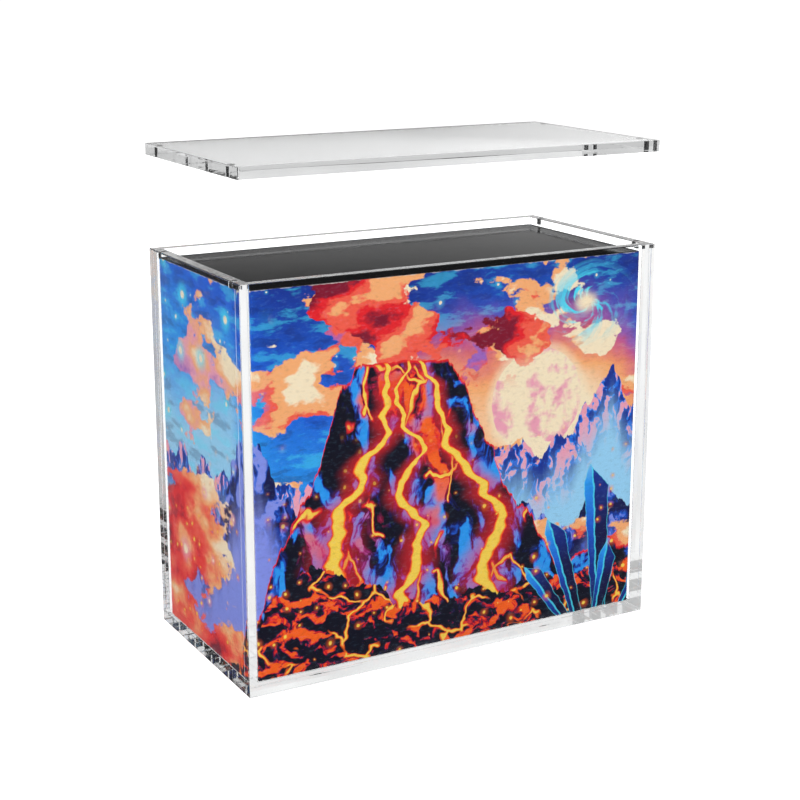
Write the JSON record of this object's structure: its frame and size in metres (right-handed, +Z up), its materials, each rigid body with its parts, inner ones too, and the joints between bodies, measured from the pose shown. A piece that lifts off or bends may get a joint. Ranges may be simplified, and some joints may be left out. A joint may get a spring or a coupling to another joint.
{
  "type": "display case",
  "caption": "Clear rectangular case of bonded sheets, open at the top, with a flat lift-off lid held by small magnets, standing round a printed carton.",
  "frame": {"origin": "centre of the case's footprint, on the surface it stands on", "axes": "+X to the right along the long side, -Y out of the front, +Z up"},
  "size_m": [0.2, 0.098, 0.219],
  "materials": {
    "clear_sheet": "clear cast acrylic, polished edges",
    "magnet": "bright nickel plating",
    "printed_board": "colour print under gloss film",
    "black_board": "black paper wrap, satin"
  },
  "bodies": {
    "case": {"base_panel": "clear_sheet", "front_panel": "clear_sheet", "back_panel": "clear_sheet", "left_panel": "clear_sheet", "right_panel": "clear_sheet", "case_magnet_front_left": "magnet", "case_magnet_front_right": "magnet", "case_magnet_back_left": "magnet", "case_magnet_back_right": "magnet"},
    "carton": {"carton_sleeve": "printed_board", "carton_cover": "black_board", "carton_tray": "black_board"},
    "lid": {"lid_panel": "clear_sheet", "lid_magnet_front_left": "magnet", "lid_magnet_front_right": "magnet", "lid_magnet_back_left": "magnet", "lid_magnet_back_right": "magnet"}
  },
  "joints": [
    {"name": "carton_lift", "type": "slide", "parent": "case", "child": "carton", "axis": [0, 0, 1], "range_m": [0, 0.175]},
    {"name": "lid_lift", "type": "slide", "parent": "carton", "child": "lid", "axis": [0, 0, 1], "range_m": [-0.0405, 0.0595]}
  ]
}
